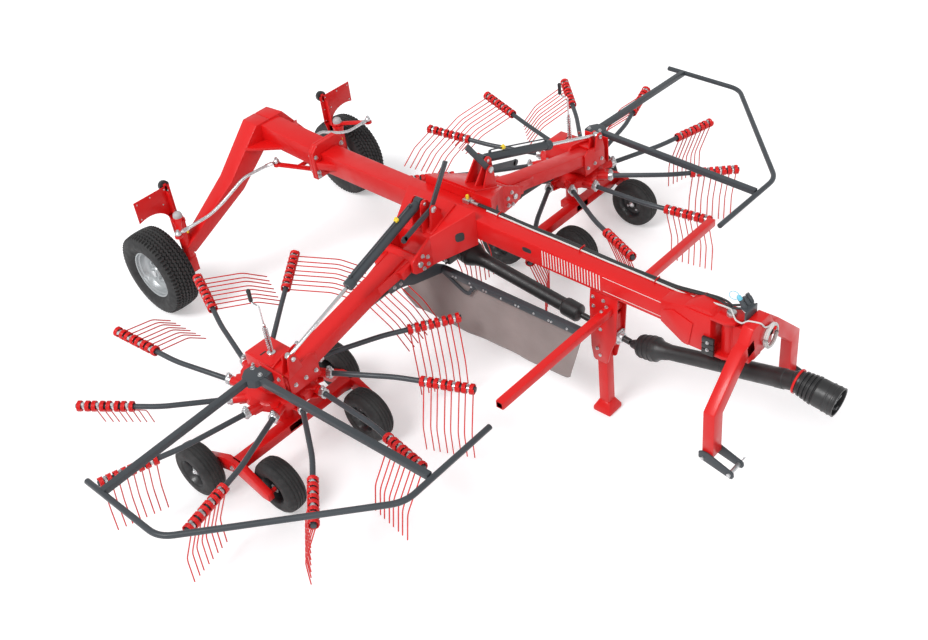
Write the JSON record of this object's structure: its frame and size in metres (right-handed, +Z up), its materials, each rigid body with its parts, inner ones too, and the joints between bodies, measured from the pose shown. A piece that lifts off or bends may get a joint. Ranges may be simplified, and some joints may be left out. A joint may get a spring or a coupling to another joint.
{
  "type": "twin rotor hay rake",
  "caption": "Towed hay rake with two tined rotors on folding arms, a steered rear axle, guard frames, a swath curtain and a lower-link headstock.",
  "frame": {"origin": "on the ground below the middle of the bounding box", "axes": "+X is the driving direction, +Y the left side of the machine, +Z up"},
  "size_m": [5.8038, 6.176, 1.7208],
  "materials": {
    "red_paint": "bright red gloss paint",
    "anthracite_paint": "dark grey satin paint",
    "zinc": "zinc plated steel",
    "tyre_rubber": "black tyre rubber",
    "black_plastic": "black moulded guards",
    "curtain_cloth": "grey-brown coated sheet"
  },
  "bodies": {
    "frame": {"main_beam": "red_paint", "rear_frame": "red_paint", "arm_bracket_right": "red_paint", "arm_bracket_left": "red_paint", "stand_bracket": "red_paint", "shaft_bearing": "zinc", "front_guard_bar": "red_paint", "centre_gearbox": "black_plastic", "pto_shaft_rear": "black_plastic", "sign_board_right": "red_paint", "sign_board_left": "red_paint", "lock_lever_right": "anthracite_paint", "lock_lever_left": "anthracite_paint"},
    "headstock": {"headstock_yoke": "red_paint", "hitch_clevis_right": "anthracite_paint", "hitch_clevis_left": "anthracite_paint"},
    "front_shaft": {"pto_shaft_front": "black_plastic"},
    "stand": {"parking_stand": "red_paint"},
    "steering_crank": {"steering_crank": "red_paint"},
    "knuckle_right": {"knuckle_right": "red_paint"},
    "tie_rod_right": {"tie_rod_right": "zinc"},
    "rear_wheel_right": {"rear_tyre_right": "tyre_rubber", "rear_rim_right": "zinc"},
    "arm_right": {"rotor_arm_right": "red_paint", "rotor_head_right": "red_paint", "height_crank_right": "zinc", "guard_frame_right": "anthracite_paint", "rotor_chassis_right": "red_paint", "cross_shaft_right": "black_plastic", "curtain_bar": "anthracite_paint", "curtain": "curtain_cloth"},
    "lift_barrel_right": {"lift_barrel_right": "anthracite_paint"},
    "lift_rod_right": {"lift_rod_right": "zinc"},
    "rotor_right": {"rotor_right": "red_paint"},
    "rotor_wheel_right_outer_front": {"rotor_wheel_right_outer_front": "tyre_rubber"},
    "rotor_wheel_right_outer_rear": {"rotor_wheel_right_outer_rear": "tyre_rubber"},
    "rotor_wheel_right_inner_front": {"rotor_wheel_right_inner_front": "tyre_rubber"},
    "rotor_wheel_right_inner_rear": {"rotor_wheel_right_inner_rear": "tyre_rubber"},
    "knuckle_left": {"knuckle_left": "red_paint"},
    "tie_rod_left": {"tie_rod_left": "zinc"},
    "rear_wheel_left": {"rear_tyre_left": "tyre_rubber", "rear_rim_left": "zinc"},
    "arm_left": {"rotor_arm_left": "red_paint", "rotor_head_left": "red_paint", "height_crank_left": "zinc", "guard_frame_left": "anthracite_paint", "rotor_chassis_left": "red_paint", "cross_shaft_left": "black_plastic"},
    "lift_barrel_left": {"lift_barrel_left": "anthracite_paint"},
    "lift_rod_left": {"lift_rod_left": "zinc"},
    "rotor_left": {"rotor_left": "red_paint"},
    "rotor_wheel_left_outer_front": {"rotor_wheel_left_outer_front": "tyre_rubber"},
    "rotor_wheel_left_outer_rear": {"rotor_wheel_left_outer_rear": "tyre_rubber"},
    "rotor_wheel_left_inner_front": {"rotor_wheel_left_inner_front": "tyre_rubber"},
    "rotor_wheel_left_inner_rear": {"rotor_wheel_left_inner_rear": "tyre_rubber"}
  },
  "joints": [
    {"name": "headstock_yaw", "type": "hinge", "parent": "frame", "child": "headstock", "pos_m": [2.16214, 0, 1.13], "axis": [0, 0, 1], "range_deg": [-45, 45]},
    {"name": "front_shaft_swing", "type": "hinge", "parent": "frame", "child": "front_shaft", "pos_m": [1.44314, 0, 0.706], "axis": [0, 0, 1], "range_deg": [-16, 16]},
    {"name": "stand_fold", "type": "hinge", "parent": "frame", "child": "stand", "pos_m": [1.20214, 0, 0.535], "axis": [0, 1, 0], "range_deg": [0, 90]},
    {"name": "kingpin_right", "type": "hinge", "parent": "frame", "child": "knuckle_right", "pos_m": [-2.35786, -0.885, 0.364], "axis": [0, 0, 1], "range_deg": [-20, 20]},
    {"name": "rear_wheel_spin_right", "type": "hinge", "parent": "knuckle_right", "child": "rear_wheel_right", "pos_m": [-2.53786, -1.083, 0.364], "axis": [0, 1, 0], "continuous": true},
    {"name": "tie_rod_turn_right", "type": "hinge", "parent": "knuckle_right", "child": "tie_rod_right", "pos_m": [-2.13286, -1.048, 0.8533], "axis": [0, 0, 1], "range_deg": [-16, 16]},
    {"name": "arm_lift_right", "type": "hinge", "parent": "frame", "child": "arm_right", "pos_m": [-0.14286, -0.51, 1.1], "axis": [-1, 0, 0], "range_deg": [-3, 85]},
    {"name": "barrel_swing_right", "type": "hinge", "parent": "frame", "child": "lift_barrel_right", "pos_m": [-0.08786, -0.33, 1.475], "axis": [-1, 0, 0], "range_deg": [-5, 82]},
    {"name": "rod_slide_right", "type": "slide", "parent": "lift_barrel_right", "child": "lift_rod_right", "axis": [0, -0.9436, -0.3312], "range_m": [-0.58, 0.03]},
    {"name": "rotor_spin_right", "type": "hinge", "parent": "arm_right", "child": "rotor_right", "pos_m": [-0.33286, -1.617, 0.644], "axis": [0.0419, 0, 0.9991], "continuous": true},
    {"name": "outer_front_wheel_spin_right", "type": "hinge", "parent": "arm_right", "child": "rotor_wheel_right_outer_front", "pos_m": [0.00814, -2.022, 0.204], "axis": [0, 1, 0], "continuous": true},
    {"name": "outer_rear_wheel_spin_right", "type": "hinge", "parent": "arm_right", "child": "rotor_wheel_right_outer_rear", "pos_m": [-0.56786, -2.252, 0.204], "axis": [0, 1, 0], "continuous": true},
    {"name": "inner_front_wheel_spin_right", "type": "hinge", "parent": "arm_right", "child": "rotor_wheel_right_inner_front", "pos_m": [0.00814, -1.194, 0.204], "axis": [0, 1, 0], "continuous": true},
    {"name": "inner_rear_wheel_spin_right", "type": "hinge", "parent": "arm_right", "child": "rotor_wheel_right_inner_rear", "pos_m": [-0.56786, -0.964, 0.204], "axis": [0, 1, 0], "continuous": true},
    {"name": "kingpin_left", "type": "hinge", "parent": "frame", "child": "knuckle_left", "pos_m": [-2.35786, 0.885, 0.364], "axis": [0, 0, 1], "range_deg": [-20, 20]},
    {"name": "rear_wheel_spin_left", "type": "hinge", "parent": "knuckle_left", "child": "rear_wheel_left", "pos_m": [-2.53786, 1.083, 0.364], "axis": [0, 1, 0], "continuous": true},
    {"name": "tie_rod_turn_left", "type": "hinge", "parent": "knuckle_left", "child": "tie_rod_left", "pos_m": [-2.13286, 1.048, 0.8533], "axis": [0, 0, 1], "range_deg": [-16, 16]},
    {"name": "arm_lift_left", "type": "hinge", "parent": "frame", "child": "arm_left", "pos_m": [-0.14286, 0.51, 1.1], "axis": [1, 0, 0], "range_deg": [-3, 85]},
    {"name": "barrel_swing_left", "type": "hinge", "parent": "frame", "child": "lift_barrel_left", "pos_m": [-0.08786, 0.33, 1.475], "axis": [1, 0, 0], "range_deg": [-5, 82]},
    {"name": "rod_slide_left", "type": "slide", "parent": "lift_barrel_left", "child": "lift_rod_left", "axis": [0, 0.9436, -0.3312], "range_m": [-0.58, 0.03]},
    {"name": "rotor_spin_left", "type": "hinge", "parent": "arm_left", "child": "rotor_left", "pos_m": [-0.33286, 1.617, 0.644], "axis": [0.0419, 0, 0.9991], "continuous": true},
    {"name": "outer_front_wheel_spin_left", "type": "hinge", "parent": "arm_left", "child": "rotor_wheel_left_outer_front", "pos_m": [0.00814, 2.022, 0.204], "axis": [0, 1, 0], "continuous": true},
    {"name": "outer_rear_wheel_spin_left", "type": "hinge", "parent": "arm_left", "child": "rotor_wheel_left_outer_rear", "pos_m": [-0.56786, 2.252, 0.204], "axis": [0, 1, 0], "continuous": true},
    {"name": "inner_front_wheel_spin_left", "type": "hinge", "parent": "arm_left", "child": "rotor_wheel_left_inner_front", "pos_m": [0.00814, 1.194, 0.204], "axis": [0, 1, 0], "continuous": true},
    {"name": "inner_rear_wheel_spin_left", "type": "hinge", "parent": "arm_left", "child": "rotor_wheel_left_inner_rear", "pos_m": [-0.56786, 0.964, 0.204], "axis": [0, 1, 0], "continuous": true},
    {"name": "crank_turn", "type": "hinge", "parent": "frame", "child": "steering_crank", "pos_m": [-1.59986, 0, 1.067], "axis": [0, 0, 1], "range_deg": [-14, 14]}
  ],
  "couplings": [
    {"joint": "front_shaft_swing", "follows": "headstock_yaw", "ratio": 0.345},
    {"joint": "tie_rod_turn_right", "follows": "kingpin_right", "ratio": -0.727},
    {"joint": "barrel_swing_right", "follows": "arm_lift_right", "ratio": 0.94},
    {"joint": "rod_slide_right", "follows": "arm_lift_right", "m_per_rad": -0.378},
    {"joint": "tie_rod_turn_left", "follows": "kingpin_right", "ratio": -0.727},
    {"joint": "barrel_swing_left", "follows": "arm_lift_left", "ratio": 0.94},
    {"joint": "rod_slide_left", "follows": "arm_lift_left", "m_per_rad": -0.378},
    {"joint": "kingpin_left", "follows": "kingpin_right", "ratio": 1},
    {"joint": "crank_turn", "follows": "kingpin_right", "ratio": -0.636}
  ]
}
